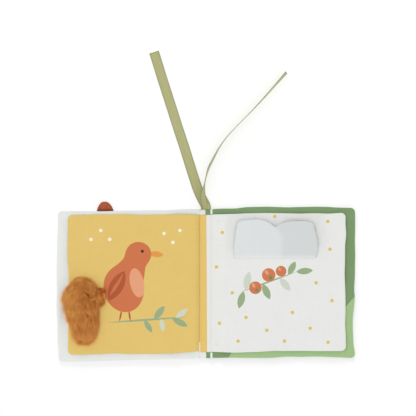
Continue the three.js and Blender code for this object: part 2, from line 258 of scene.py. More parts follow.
def new_piece(name, node, body, points, faces, material, slot, cloth=None):
    """A named mesh from points in millimetres and one or more arrays of faces. It takes the place of a node
    of the CAD model and moves with a body. cloth gives each point its place on the flat cloth, which the
    materials read; without it that is the point itself."""
    groups = faces if isinstance(faces, list) else [faces]
    sizes = np.concatenate([np.full(len(group), group.shape[1]) for group in groups])
    corners = np.concatenate([group.ravel() for group in groups])
    mesh = bpy.data.meshes.new(name)
    mesh.vertices.add(len(points))
    mesh.vertices.foreach_set("co", (np.asarray(points, float) / 1000).ravel())
    mesh.loops.add(len(corners))
    mesh.loops.foreach_set("vertex_index", corners.astype(np.int32))
    mesh.polygons.add(len(sizes))
    mesh.polygons.foreach_set("loop_start", (np.cumsum(sizes) - sizes).astype(np.int32))
    mesh.update(calc_edges=True)
    mesh.polygons.foreach_set("use_smooth", np.ones(len(sizes), bool))
    place = mesh.attributes.new("cloth", "FLOAT_VECTOR", "POINT")
    place.data.foreach_set("vector", np.asarray(points if cloth is None else cloth, np.float32).ravel())
    mesh.materials.append(material)
    made = bpy.data.objects.new(name, mesh)
    bpy.context.scene.collection.objects.link(made)
    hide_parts(node)
    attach(made, body)
    return made


def cubic_through(knots, values, places):
    """The values at some places, smooth between those at the knots: each stretch is a cubic whose slope at
    either end is that of the parabola through the three knots round it."""
    slopes = np.gradient(values, knots, axis=0)
    start = np.clip(np.searchsorted(knots, places, side="right") - 1, 0, len(knots) - 2)
    widened = (..., *[None] * (values.ndim - 1))
    span = (knots[start + 1] - knots[start])[widened]
    t = (places - knots[start])[widened] / span
    return ((2 * t**3 - 3 * t**2 + 1) * values[start] + (t**3 - 2 * t**2 + t) * span * slopes[start]
            + (3 * t**2 - 2 * t**3) * values[start + 1] + (t**3 - t**2) * span * slopes[start + 1])


def distance_along(points):
    """How far along a line each of its points lies."""
    return np.concatenate([[0], np.cumsum(np.linalg.norm(np.diff(points, axis=0), axis=1))])


def smooth_line(points, steps):
    """A smooth line through all the points, by distance along it. Further columns are carried along."""
    points = np.asarray(points, float)
    knots = distance_along(points[:, :3])
    return cubic_through(knots, points, np.linspace(0, knots[-1], steps))


ribbon_finish, tree, surface = finish_of("woven_olive_ribbon", 0.62, sheen=0.1)
place, parts = cloth_place(tree)
ribs = waves(tree, parts[1], 0.7)
streaks = ramp(tree, noise(tree, place, 1, 3, stretch=(1.6, 0.07, 1)), 2.6, -0.8)
edge = maths(tree, "POWER", maths(tree, "ABSOLUTE", maths(tree, "MULTIPLY", parts[0], 2 / ribbon_width)), 7)
cut_end = maths(tree, "GREATER_THAN", parts[1], cut_end_start)
tone = mixed(tree, streaks, srgb(168, 171, 100), srgb(186, 182, 146))
for share, part in ((0.75, edge), (0.5, cut_end)):
    tone = mixed(tree, maths(tree, "MULTIPLY", part, share), tone, srgb(120, 127, 76))
coat(tree, surface, tone, maths(tree, "ADD", ribs, maths(tree, "MULTIPLY", edge, 2)), 0.35, 0.00008)


def ribbon(name, node, points):
    """A flat strip carried along its middle line. Across it runs the line's direction crossed with straight
    up, turned about the line by the lean, and the strip is cupped by a fifth of a millimetre."""
    line = smooth_line(points, ribbon_steps)
    middle = line[:, :3] + np.array([*ribbon_exit, 0])
    along = unit(np.gradient(middle, axis=0), 0)
    flat = unit(np.cross(along, (0, 0, 1)), 0)
    lean = np.radians(line[:, 3:4])
    across = flat * np.cos(lean) + np.cross(along, flat) * np.sin(lean)
    normal = np.cross(across, along)
    share = np.linspace(-1, 1, ribbon_columns)
    cup = ribbon_cup * share**2 + ribbon_thickness / 2
    strip = (middle[:, None] + across[:, None] * (share * ribbon_width / 2)[None, :, None]
             + normal[:, None] * cup[None, :, None])
    shape, faces = cloth_layer(strip, ribbon_thickness)
    length = distance_along(middle)
    flat_place = points_at(share[None] * ribbon_width / 2, length[:, None], 0)
    flat_place = np.tile(flat_place.reshape(-1, 3), (2, 1))
    made = new_piece(name, node, "spine", shape, faces, ribbon_finish, "olive_ribbon", flat_place)
    return made


ties = [ribbon("left_ribbon_tie", "ribbon_left", left_tie),
        ribbon("right_ribbon_tie", "ribbon_right", right_tie)]
# The lamp behind throws no shadow of the ribbons, which stays too faint to see beside them.
unshaded = bpy.data.collections.new("table_light_blockers")
for tie in ties:
    unshaded.objects.link(tie)
for held in unshaded.collection_objects:
    held.light_linking.link_state = "EXCLUDE"
table_light.light_linking.blocker_collection = unshaded

# The ribbons' joined end: both are sewn flat inside the spine's top seam, a centimetre deep.
low, high = (np.array(corner) * 1000 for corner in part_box("ribbon_anchor"))
depth = np.linspace(low[1], ribbon_exit[1], 12)[:, None]
breadth = np.linspace(-1, 1, ribbon_columns)[None, :] * ribbon_width / 2 + ribbon_exit[0]
level = high[2] - 0.35 * ((depth - low[1]) / (ribbon_exit[1] - low[1])) ** 2
shape, faces = cloth_layer(points_at(breadth, depth, level), 2 * ribbon_thickness)
tuck = new_piece("ribbon_tuck", "ribbon_anchor", "spine", shape, faces, ribbon_finish, "olive_ribbon",
                 shape - (ribbon_exit[0], 0, 0))


# Front cover: two layers of pale cotton sewn together round the edge, with fibre wadding between them.
# It lies flat on the table, and its fourth edge runs into the left seam beside the spine.
seam_place = 5.95
# rim is the level of the edge seam, roll and seam_roll are how far the cloth takes to curve up from the
# edge seam and from the spine's, and room is how far the filling may press each cloth out.
cover = {"reach": 144.05, "low": -79.65, "high": 70.35, "corner": 4.6, "rim": 2.2, "roll": 4, "seam_roll": 9,
         "pinch": 0.8, "softness": 0.2, "flat": {"lower": 0.02, "upper": 4.4},
         "seam": {"lower": 3.9, "upper": 4.25}, "room": {"lower": 0, "upper": 0.6}}
cloth_thickness = 0.45
edge_step, cloth_step = 0.3, 1.9
groove_depth, groove_width = 0.4, 0.25
wadding_inset = 4.5
wadding_gap = 0.8


def graded(low, high, fine, coarse):
    """Places from low to high: a fine step at either end, each next one a third longer up to coarse."""
    steps = fine * 1.33 ** np.arange(math.ceil(math.log(coarse / fine) / math.log(1.33)))
    end = np.cumsum(steps)
    middle = np.linspace(low + end[-1], high - end[-1], round((high - low - 2 * end[-1]) / coarse) + 1)
    return np.concatenate([[low], low + end[:-1], middle, high - end[-2::-1], [high]])


def ripple(x, y, length, seed, count=9):
    """Soft unevenness of about that wavelength: the sum of sine waves with seeded directions and phases."""
    chance = np.random.default_rng(seed)
    turn = chance.uniform(0, 2 * math.pi, count)
    wave = 2 * math.pi / (length * chance.uniform(0.75, 1.4, count))
    phase = chance.uniform(0, 2 * math.pi, count)
    x, y = np.broadcast_arrays(x, y)
    total = np.sin(wave * (x[..., None] * np.cos(turn) + y[..., None] * np.sin(turn)) + phase)
    return total.sum(-1) / math.sqrt(count)


def edge_line(places, values):
    """A smooth curve through a few values at given places, level beyond both ends."""
    places, values = np.asarray(places, float), np.asarray(values, float)
    return lambda where: cubic_through(places, values, np.clip(where, places[0], places[-1]))


def rounded(t, power=2.3):
    """From nought to one along a rounded shoulder, steep at first and level at its end."""
    return (1 - (1 - t) ** power) ** (1 / power)


def panel_surface(panel, out, up, sheet):
    """One cloth of a padded panel, over a grid of distances from the seam (columns) and heights (rows).

    Each outer corner's square of the grid is drawn into a quarter circle: (a, b) goes to a times the root
    of 1 - b squared / 2, and b times the root of 1 - a squared / 2. The height runs from the rim's level to
    the flat level along a rounded roll. Near the seam a sine pinches it to the seam's level."""
    reach, radius, roll = panel["reach"], panel["corner"], panel["roll"]
    half = (panel["high"] - panel["low"]) / 2
    middle = (panel["high"] + panel["low"]) / 2
    e, y = np.meshgrid(out, up)
    a = np.clip((e - reach + radius) / radius, 0, 1)
    b = np.clip((np.abs(y - middle) - half + radius) / radius, 0, 1)
    e = np.where(a > 0, reach - radius + radius * a * np.sqrt(1 - b * b / 2), e)
    drawn = half - radius + radius * b * np.sqrt(1 - a * a / 2)
    y = np.where(b > 0, middle + np.sign(y - middle) * drawn, y)
    beyond_e, beyond_y = e - reach + radius, np.abs(y - middle) - half + radius
    outside = np.hypot(np.maximum(beyond_e, 0), np.maximum(beyond_y, 0))
    rim = radius - outside - np.minimum(np.maximum(beyond_e, beyond_y), 0)
    side_rim, end_rim = reach - e, half - np.abs(y - middle)
    # The rim seam lies in a small groove.
    inset = groove_depth * np.exp(-((rim / groove_width) ** 2)) / np.maximum(outside, 1e-6)
    e = e - inset * np.maximum(beyond_e, 0)
    y = y - inset * np.maximum(beyond_y, 0) * np.sign(y - middle)
    # The roll over the rim, and the pinch at the seam.
    t = np.clip(rim / roll, 0, 1)
    rise = rounded(t)
    pinch = np.sin(math.pi / 2 * np.clip(e / panel["seam_roll"], 0, 1)) ** panel["pinch"]
    seed = panel["seed"] + (0 if sheet == "lower" else 50)
    gathers = (np.exp(-end_rim / 6) * ripple(e, 0, 9, seed)
               + np.exp(-side_rim / 6) * ripple(0, y, 9, seed + 1)
               + 0.8 * np.exp(-e / 7) * ripple(0, y, 8, seed + 2))
    away = 1 if sheet == "upper" else -1
    soft = panel["softness"] * (gathers + 0.5 * ripple(e, y, 38, seed + 3)) * rise
    if sheet == "lower":
        soft = np.minimum(soft, 0) * np.exp(-rim / 8)
    z = panel["rim"] + (panel["flat"][sheet] - panel["rim"]) * rise + away * soft
    if sheet == "upper" and "basin" in panel:
        z = z - panel["basin"](seam_place + e, y) * rise
    z = panel["seam"][sheet] + (z - panel["seam"][sheet]) * pinch
    # The outline's own run.
    share = (y - panel["low"]) / (panel["high"] - panel["low"])
    wave = 0.13 * ripple(0, y, 26, panel["seed"] + 9)
    e = e + (panel["fore"](y) + wave) * (e / reach) ** 2
    along = 0.13 * ripple(e, 0, 26, panel["seed"] + 8)
    y = y + panel["bottom"](e) * (1 - share) + panel["top"](e) * share + along * (2 * share - 1) ** 3
    return points_at(panel["side"] * (seam_place + e), y, z)


def turned(surface, side, sheet):
    """The grid in the order in which its faces look out of the panel."""
    surface = surface[:, ::-1] if side < 0 else surface
    return surface[::-1] if sheet == "lower" else surface


def pillow(lower, upper):
    """Two grids with the same edge as one closed mesh: points, faces, and the two grids' point numbers."""
    rows, columns = upper.shape[:2]
    inner = np.zeros((rows, columns), bool)
    inner[1:-1, 1:-1] = True
    above = np.arange(rows * columns).reshape(rows, columns)
    below = above.copy()
    below[inner] = rows * columns + np.arange(inner.sum())
    shared = np.where(inner[..., None], upper, (upper + lower) / 2).reshape(-1, 3)
    points = np.concatenate([shared, lower[inner]])
    quads = grid_faces(rows, columns)
    faces = np.concatenate([above.ravel()[quads], below.ravel()[quads[:, ::-1]]])
    return points, faces, below, above


def spline_weights(places, low, high, count):
    """Weights of evenly spaced values in a smooth curve through their neighbourhood, a cubic B-spline."""
    t = (places - low) / (high - low) * (count - 1)
    start = np.clip(np.floor(t).astype(int), 0, count - 2)
    f = t - start
    parts = [(1 - f) ** 3, 3 * f**3 - 6 * f**2 + 4, -3 * f**3 + 3 * f**2 + 3 * f + 1, f**3]
    weights = np.zeros((len(places), count))
    for step, part in enumerate(parts):
        np.add.at(weights, (np.arange(len(places)), np.clip(start + step - 1, 0, count - 1)), part / 6)
    return weights


def plumped(panel, frames=16, growth=0.02, cap=0.8):
    """How far the two cloths of a panel move when the filling presses them out. A coarse copy of the panel
    is simulated with pressure inside and a little spare cloth, held at its seam and more loosely over its
    middle."""
    rows = columns = 56
    out, up = np.linspace(0, panel["reach"], columns), np.linspace(panel["low"], panel["high"], rows)
    lower, upper = (panel_surface(panel, out, up, sheet) for sheet in ("lower", "upper"))
    points, faces, below, above = pillow(lower, upper)
    if panel["side"] < 0:
        faces = faces[:, ::-1]
    mesh = bpy.data.meshes.new("plumping")
    mesh.from_pydata((points / 1000).tolist(), [], faces.tolist())
    body = bpy.data.objects.new("plumping", mesh)
    bpy.context.scene.collection.objects.link(body)
    grid_e, grid_y = np.meshgrid(out, up)
    rim = np.minimum(panel["reach"] - grid_e, np.minimum(grid_y - panel["low"], panel["high"] - grid_y))
    free_rim, hold_width, middle_hold = 5, 12, 0.35
    hold = np.where(grid_e < 1, 1, np.clip((rim - free_rim) / hold_width, 0, 1) * middle_hold)
    held = body.vertex_groups.new(name="held")
    strength = np.zeros(len(points))
    strength[above.ravel()] = hold.ravel()
    strength[below.ravel()] = hold.ravel()
    for level in np.unique(np.round(strength, 2)):
        held.add(np.flatnonzero(np.round(strength, 2) == level).tolist(), float(level), "REPLACE")
    cloth = body.modifiers.new("cloth", "CLOTH")
    settings = cloth.settings
    settings.quality = 4
    settings.mass = 0.2
    settings.tension_stiffness = settings.compression_stiffness = 20
    settings.shear_stiffness = 8
    settings.bending_stiffness = 0.4
    settings.use_pressure = True
    settings.uniform_pressure_force = 4
    settings.shrink_min = -growth
    settings.vertex_group_mass = "held"
    settings.pin_stiffness = 1
    settings.effector_weights.gravity = 0
    for number in range(1, frames + 1):
        bpy.context.scene.frame_set(number)
    shaped = body.evaluated_get(bpy.context.evaluated_depsgraph_get()).to_mesh()
    moved = np.zeros(len(points) * 3)
    shaped.vertices.foreach_get("co", moved)
    moved = moved.reshape(-1, 3) * 1000 - points
    bpy.data.objects.remove(body)
    bpy.context.scene.frame_set(1)
    size = np.linalg.norm(moved, axis=1, keepdims=True) + 1e-9
    moved *= cap * np.tanh(size / cap) / size * (0.4, 0.4, 1)
    return moved[below], moved[above]


def sewn_panel(name, body, panel, below, above):
    """The three pieces of a padded panel: two cloths and the wadding between them. below and above give
    what each cloth is called, its node, its finish and its slot. Returns the surface of the cloth above."""
    reach, low, high, side = (panel[key] for key in ("reach", "low", "high", "side"))
    out, up = graded(0, reach, edge_step, cloth_step), graded(low, high, edge_step, cloth_step)
    for sheet, away, move, cloth in zip(("lower", "upper"), (-1, 1), plumped(panel), (below, above)):
        called, node, finish, slot = cloth
        surface = panel_surface(panel, out, up, sheet)
        flat_place = surface * (1, 1, 0)
        move = np.einsum("ri,ijk,cj->rck", spline_weights(up, low, high, len(move)), move,
                         spline_weights(out, 0, reach, len(move)))
        move[..., 2] = away * np.clip(away * move[..., 2], -0.5, panel["room"][sheet])
        surface = surface + move * np.clip(out / 6, 0, 1)[None, :, None]
        surface[..., 2] = np.maximum(surface[..., 2], cover["flat"]["lower"])
        pressed = np.broadcast_to(np.clip(0.25 + out / 2, 0, 1) * cloth_thickness, surface.shape[:2])
        shape, faces = cloth_layer(turned(surface, side, sheet), turned(pressed, side, sheet))
        flat_place = np.tile(turned(flat_place, side, sheet).reshape(-1, 3), (2, 1))
        made = new_piece(f"{name}_{called}", f"{body}_{node}", body, shape, faces, finish, slot, flat_place)
    inner = dict(panel, reach=reach - wadding_inset, low=low + wadding_inset, high=high - wadding_inset,
                 roll=4, softness=0.05, flat={"lower": panel["flat"]["lower"] + wadding_gap,
                                              "upper": panel["flat"]["upper"] - wadding_gap})
    out, up = graded(3.5, inner["reach"], 0.6, 5), graded(inner["low"], inner["high"], 0.6, 5)
    shape, faces, *_ = pillow(*(panel_surface(inner, out, up, sheet) for sheet in ("lower", "upper")))
    if side < 0:
        faces = faces[:, ::-1]
    filling = new_piece(name + "_filling", body + "_wadding", body, shape, faces, wadding_finish,
                        "polyester_wadding")
    return surface


wadding_finish, tree, surface = finish_of("fibre_wadding", 0.95, sheen=0.3)
tufts = noise(tree, cloth_place(tree)[0], 0.5, 6)
coat(tree, surface, mixed(tree, tufts, srgb(238, 238, 236), srgb(214, 214, 210)), tufts, 0.8, 0.0006)


def cotton(name, colour, shade, pitch=0.5, printed=None):
    """Plain woven cotton. The threads go over and under each other, which is the product of one sine wave
    along each; thicker and thinner yarns change the tone in streaks. printed adds inks to the colour."""
    made, tree, surface = finish_of(name, 0.88, sheen=0.12)
    place, parts = cloth_place(tree)
    weave = maths(tree, "MULTIPLY", *(waves(tree, parts[axis], pitch) for axis in (0, 1)))
    ways = (0.05, 1.1, 1), (1.1, 0.05, 1)
    yarn = maths(tree, "ADD", *(noise(tree, place, 1, 2, stretch=way) for way in ways))
    drift = maths(tree, "MULTIPLY", noise(tree, place, 0.035, 2), 0.45)
    ground = mixed(tree, maths(tree, "MULTIPLY_ADD", yarn, 0.3, drift), colour, shade)
    if printed:
        ground = printed(tree, place, ground)
    coat(tree, surface, ground, maths(tree, "MULTIPLY_ADD", weave, 0.35, yarn), 0.5, 0.00012)
    return made


pale_cotton = cotton("pale_grey_cotton", srgb(236, 238, 235), srgb(222, 225, 222))
front_cover = dict(cover, side=-1, seed=1,
                   fore=edge_line([-75, -68, -58, -38, -17, 3, 23, 43, 53, 64, 71],
                                  [-0.5, -0.4, 0.4, 1.2, 1.4, 1.2, 1.1, 0.9, 0.2, 0.3, 0.2]),
                   top=edge_line([0, 10, 20, 30, 45, 84, 144], [0.6, 0.6, 0.5, 0, -0.3, -1, -1.5]),
                   bottom=edge_line([0, 45, 76, 104, 144], [-1.7, -2.6, -3.2, -4.4, -4.8]))
sewn_panel("front_cover", "front_cover", front_cover, ("outside", "outer", pale_cotton, "pale_cotton"),
           ("inside", "lining", pale_cotton, "pale_cotton"))


# Back cover: the same make in green. Its inside cloth is printed in two greens, dark above and light below,
# where two low hills rise from the bottom edge. A darker line runs along their crests.
dark_green, green_shade, light_green, line_green = (
    srgb(131, 159, 113), srgb(118, 147, 101), srgb(161, 192, 137), srgb(104, 132, 88))
hills = [((86.2, -112.7), 70.9), ((191.8, -63.4), 60.8)]
line_width = 0.5


def distance_from(tree, place, centre):
    """How far a place is from a centre."""
    return shader(tree, "VectorMath", {0: place, 1: (*centre, 0)}, operation="DISTANCE").outputs["Value"]


def disc(tree, place, centre, radius):
    """One within a radius of the centre, and nought elsewhere."""
    return maths(tree, "LESS_THAN", distance_from(tree, place, centre), radius)


def union(tree, masks):
    """One where any of the masks is one."""
    whole = masks[0]
    for mask in masks[1:]:
        whole = maths(tree, "MAXIMUM", whole, mask)
    return whole


def hill_print(tree, place, ground):
    """The hills over the slightly larger hills of their line."""
    for more, ink in ((line_width, line_green), (0, light_green)):
        hill = union(tree, [disc(tree, place, centre, radius + more) for centre, radius in hills])
        ground = mixed(tree, hill, ground, ink)
    return ground


green_cotton = cotton("green_cotton", dark_green, green_shade)
hill_cotton = cotton("two_green_cotton", dark_green, green_shade, printed=hill_print)
back_cover = dict(cover, side=1, seed=11,
                  fore=edge_line([-80, -73, -66, -56, -47, -38, -28, -20, -12, 0, 13, 30, 60, 71],
                                 [1.7, 1.8, 0.8, 0.2, -0.1, 0, 1.2, 1.9, 1.5, 1.9, 2.1, 1.9, 1.9, 1.7]),
                  top=edge_line([0, 6, 15, 25, 35, 40, 68, 95, 106, 116, 126, 144],
                                [0.6, 0.9, 1.25, 1.7, 2.65, 2.8, 3, 2.8, 3.2, 2.95, 2.25, 1.75]),
                  bottom=edge_line([0, 55, 90, 110, 144], [-1, -0.9, 0.1, 0, -1]))
sewn_panel("back_cover", "back_cover", back_cover, ("outside", "outer", green_cotton, "green_cotton"),
           ("inside", "lining", hill_cotton, "green_cotton"))


# Spine: the strip of the cover between the two seams. Its outside cloth sags between them over a little
# wadding. The pale and the green cloth of the cover are joined along its middle.
cloth_join = -0.1
spine_low, spine_high = -80.6, 70.4
# The cloth puckers at each stitch of the seams.
stitch_pitch = 2.25
pucker_step = 0.37


def spine_roll(y, low, high, roll):
    """From nought at either end of the spine to one within it."""
    return rounded(np.clip(np.minimum(y - low, high - y) / roll, 0, 1))


def spine_piece(name, node, x, level, rim_level, low, high, roll, finish, slot, facing,
                thickness=cloth_thickness, pucker=0):
    """A strip between the seams: its level across the spine, rolled to the rim's level at both ends. pucker
    is the height of the small waves across it, one for each stitch."""
    up = graded(low, high, edge_step, pucker_step if pucker else cloth_step)
    x, y = np.meshgrid(x, up)
    share = spine_roll(y, low, high, roll)
    z = rim_level + (level(x) - rim_level) * share
    z = z + facing * 0.12 * ripple(x * 0.4, y, 7, 90) * share * (1 - (x / seam_place) ** 2)
    z = z + pucker * np.sin(2 * math.pi * y / stitch_pitch + 0.3 * x) * share * (1 - (x / seam_place) ** 4)
    surface = points_at(x, y, z)
    if facing < 0:
        surface = surface[::-1]
    pressed = np.clip(0.25 + (seam_place - np.abs(x)) / 2, 0, 1) * thickness
    shape, faces = cloth_layer(surface, pressed)
    return new_piece(name, node, "spine", shape, faces, finish, slot, shape * (1, 1, 0))


def joined_to(colour, join, slope):
    """Another cloth left of a join, which runs a little to the right on its way down."""
    def printed(tree, place, ground):
        parts = parts_of(tree, place)
        across = maths(tree, "MULTIPLY_ADD", parts[1], slope, parts[0])
        return mixed(tree, maths(tree, "LESS_THAN", across, join), ground, colour)

    return printed


def across_spine(join, gap, left, right):
    """Places across the spine: steps up to just before the join, and from the join on."""
    return np.concatenate([[-seam_place], np.linspace(-5.6, join - gap, left), np.linspace(join, 5.6, right),
                           [seam_place]])


spine_cotton = cotton("pale_and_green_cotton", srgb(122, 158, 108), srgb(112, 146, 98),
                      printed=joined_to(srgb(232, 233, 229), cloth_join + 0.325, 0.005))
for name, node, level, rim_level, facing, width in (
        ("spine_outside", "spine_outer", lambda x: 3.85 - 3.2 * (1 - np.abs(x / seam_place) ** 2.6) ** 0.5,
         2.2, -1, 0.016),
        ("spine_inside", "spine_lining", lambda x: 4.25 - 0.3 * (1 - (x / seam_place) ** 2), 2.4, 1, 0.0125)):
    made = spine_piece(name, node, across_spine(cloth_join, 0.25, 9, 10), level, rim_level, spine_low,
                       spine_high, 5, spine_cotton, "pale_cotton", facing)

# The wadding is an oval bolster, a little way in from the seams and from both ends.
low, high, half = -74, 65, 4.2
x, y = np.meshgrid(np.linspace(-half, half, 9), graded(low, high, 0.8, 4))
bulge = (1 - (x / half) ** 2) ** 0.5 * spine_roll(y, low, high, 3)
shape, faces, *_ = pillow(points_at(x, y, 2.6 - 1.3 * bulge), points_at(x, y, 2.6 + 0.6 * bulge))
filling = new_piece("spine_filling", "spine_wadding", "spine", shape, faces, wadding_finish,
                    "polyester_wadding")


# Left page: a padded leaf, yellow cotton on the side that shows and white on its other side.
# It carries a printed bird on a twig, in flat inks, whose tail is the plush one.
leaf = {"reach": 135.05, "low": -75.4, "high": 66.1, "corner": 5.2, "rim": 6.6, "roll": 2.3, "seam_roll": 6,
        "pinch": 0.8, "softness": 0.2, "flat": {"lower": 4.75, "upper": 8.6},
        "seam": {"lower": 4.5, "upper": 4.7}, "room": {"lower": 0.1, "upper": 0.35}}


def oval_distance(tree, place, centre, half_sizes, turn):
    """Nought at the centre of an oval turned by that many degrees, and one on its edge."""
    local = shader(tree, "Mapping", {0: place, 1: (*centre, 0), 2: (0, 0, math.radians(turn)),
                                     3: (*half_sizes, 1)}, vector_type="TEXTURE").outputs[0]
    return shader(tree, "VectorMath", {0: local}, operation="LENGTH").outputs["Value"]


def oval(tree, place, *numbers):
    """One inside an oval."""
    return maths(tree, "LESS_THAN", oval_distance(tree, place, *numbers), 1)


def leaf_shape(tree, place, centre, length, width, turn):
    """One where two equal circles overlap: a pointed leaf of that length and width along the turn."""
    radius = (length**2 / 4 + width**2 / 4) / width
    shift = radius - width / 2
    side = np.array([-math.sin(math.radians(turn)), math.cos(math.radians(turn))]) * shift
    away = [distance_from(tree, place, np.array(centre) + way * side) for way in (-1, 1)]
    return maths(tree, "LESS_THAN", maths(tree, "MAXIMUM", *away), radius)


def blended(tree, place, ovals, softness):
    """One inside several ovals that run into each other: their smooth least distance is below nought."""
    whole = None
    for centre, half_sizes, turn in ovals:
        away = maths(tree, "SUBTRACT", oval_distance(tree, place, centre, half_sizes, turn), 1)
        away = maths(tree, "MULTIPLY", away, min(half_sizes))
        whole = away if whole is None else maths(tree, "SMOOTH_MIN", whole, away, softness)
    return maths(tree, "LESS_THAN", whole, 0)


def flat_inks(tree, place, ground, inks):
    """Inks printed over each other, each in shapes of one kind, given by their numbers."""
    for ink, kind, shapes in inks:
        ground = mixed(tree, union(tree, [kind(tree, place, *numbers) for numbers in shapes]), ground, ink)
    return ground


terracotta, rust, blush = srgb(205, 116, 74), srgb(176, 88, 52), srgb(228, 160, 122)
leaf_green, pale_leaf, white_ink = srgb(152, 172, 132), srgb(204, 212, 196), srgb(246, 240, 222)


def bird_print(tree, place, ground):
    """A plain bird on a twig: rounds and leaf shapes in flat inks, and a few white dots."""
    dots = [(-116, 40), (-106, 49), (-97, 40), (-42, 46), (-33, 37), (-26, 49)]
    return flat_inks(tree, place, ground, [
        (leaf_green, leaf_shape, [((-60, -41.5), 82, 2, 4)]),
        (leaf_green, leaf_shape, [((-46.8, -34.2), 17, 6.5, 52), ((-26.1, -43.9), 18, 6.5, -28),
                                  ((-58, -48), 15, 5.5, -58)]),
        (pale_leaf, leaf_shape, [((-24.1, -34.8), 15, 5.5, 38), ((-43.9, -46.9), 13, 5, -80)]),
        (rust, leaf_shape, [((-86, -37), 13, 1.7, 78), ((-77, -37), 13, 1.7, 98)]),
        (srgb(226, 152, 76), leaf_shape, [((-50, 25), 15, 6, -6)]),
        (terracotta, blended, [([((-83, -10), (20, 24), 16), ((-76, 6), (14, 18), -20),
                                 ((-68, 25), (13, 12.5), 0)], 9)]),
        (blush, oval, [((-69.5, -4), (7, 15), 12)]),
        (rust, leaf_shape, [((-90, -7), 34, 14, 62)]),
        (terracotta, leaf_shape, [((-88.4, -4), 22, 2.6, 62), ((-93, -10), 18, 2.2, 62)]),
        (srgb(84, 44, 30), disc, [((-64, 28), 1.6)]),
        (white_ink, disc, [(dot, 1.7) for dot in dots]),
    ])


white, white_shade = srgb(237, 238, 235), srgb(225, 226, 223)
white_cotton = cotton("white_cotton", white, white_shade)
yellow_cotton = cotton("yellow_printed_cotton", srgb(231, 201, 119), srgb(219, 187, 105), printed=bird_print)
left_leaf = dict(leaf, side=-1, seed=21,
                 fore=edge_line([-80, 13, 33, 43, 54, 71], [-1.1, -1.3, -0.6, -0.6, -1.1, -1.1]),
                 top=edge_line([0, 16, 36, 46, 56, 66, 77, 87, 97, 107, 117, 127, 135],
                               [-0.6, -0.4, -0.6, -0.75, -1.2, -0.6, -0.3, -0.4, -0.5, -0.45, -1.1, -1.15,
                                -1.4]),
                 bottom=edge_line([0, 8, 20, 36, 54, 66, 77, 87, 97, 107, 120, 135],
                                  [1.9, 1.2, 0.1, -0.6, -0.9, -1.2, -0.9, -0.7, -1.2, -1.3, -1.6, -1.7]))
sewn_panel("left_page", "left_leaf", left_leaf, ("reverse", "reverse", white_cotton, "white_cotton"),
           ("face", "face", yellow_cotton, "yellow_print_cotton"))


# Right page: the same make in white cotton, with scattered ochre dots and a sprig of three round berries.
def berry_print(tree, place, ground):
    """A sprig of berries and leaves, with scattered dots. Round the flap the cloth carries a faint painted
    shadow, greyer near the flap: the product of three ramps, given by their axis, their start and their run."""
    parts = parts_of(tree, place)
    flap_shadow_ramps = [ramp(tree, parts[axis], 1 / run, -start / run)
             for axis, start, run in ((0, 17, 13), (0, 127, -13), (1, 22, 14))]
    near = maths(tree, "MULTIPLY", maths(tree, "MULTIPLY", flap_shadow_ramps[0], flap_shadow_ramps[1]), flap_shadow_ramps[2])
    # Painted shadow: the cloth round the flap is mixed a little towards grey.
    ground = mixed(tree, maths(tree, "MULTIPLY", near, 0.16), ground, srgb(188, 192, 193))
    dots = [(17, 47), (11, 12), (27, -14), (14, -45), (41, -39), (33, -63), (62, -52), (88, -34), (80, -63),
            (106, -50), (124, -64), (128, -22), (112, -4), (126, 30), (70, 63), (124, 58)]
    return flat_inks(tree, place, ground, [
        (srgb(222, 190, 98), disc, [(dot, 1.75) for dot in dots]),
        (leaf_green, leaf_shape, [((64, -3), 62, 1.6, 20)]),
        (pale_leaf, leaf_shape, [((42.4, -2), 19, 7.5, 78), ((80.5, -5.5), 17, 7, -50)]),
        (leaf_green, leaf_shape, [((36.2, -21.2), 18, 7, -105), ((61.6, -12.9), 17, 7, -65),
                                  ((87.5, 10.9), 15, 6.5, 62), ((100.3, 7.9), 17, 6.5, 5)]),
        (srgb(206, 122, 82), disc, [((50.5, -9), 6.4), ((64, 4), 6.8), ((76.5, 7.8), 5.4)]),
        (blush, oval, [((48.6, -6.6), (1.5, 2.5), 30), ((61.9, 6.6), (1.7, 2.7), 30),
                       ((75, 9.8), (1.2, 1.9), 30)]),
        (srgb(112, 134, 96), leaf_shape, [((52, -11.6), 5.6, 1.7, 20), ((52, -11.6), 5.6, 1.7, 100),
                                          ((66, 1.2), 6, 1.8, 10), ((66, 1.2), 6, 1.8, 90)]),
    ])


berry_cotton = cotton("white_printed_cotton", white, white_shade, printed=berry_print)


def flap_basin(x, y):
    """How much lower the page lies beside the flap and above it: a millimetre, with soft edges."""
    return 1.1 / (1 + np.exp(-(x - 21) / 2)) / (1 + np.exp((x - 119) / 2)) / (1 + np.exp(-(y - 33) / 3))


right_leaf = dict(leaf, basin=flap_basin, seam_roll=16, pinch=1.1, side=1, seed=31,
                  fore=edge_line([-80, -68, -58, -48, -38, -28, -17, -7, 3, 13, 23, 33, 43, 53, 63, 71],
                                 [1.6, 1.65, 1.55, 1.1, 1.25, 1.3, 1.1, 0.75, 0.45, 0.8, 0.8, 1.2, 1.9, 1.2,
                                  1.5, 1.3]),
                  top=edge_line([0, 5, 15, 25, 35, 45, 65, 86, 106, 126, 135],
                                [-0.6, -0.2, -0.15, -0.05, 0.7, 0.8, 0.6, 0.55, 0.7, 0.8, 1]),
                  bottom=edge_line([0, 15, 35, 45, 55, 65, 76, 100, 126, 135],
                                   [0.9, 0.7, 0.56, 0.87, 1.55, 2, 2.1, 2.1, 2.1, 2.3]))
right_page_top = sewn_panel("right_page", "right_leaf", right_leaf,
                            ("reverse", "reverse", white_cotton, "white_cotton"),
                            ("face", "face", berry_cotton, "white_print_cotton"))


# Gutter: the cloth of the two pages between the seams. The yellow and white cloth join beside its middle.
page_join = 1.2
gutter_cotton = cotton("yellow_and_white_cotton", srgb(238, 236, 233), srgb(226, 224, 221),
                       printed=joined_to(srgb(228, 195, 112), page_join, 0.006))


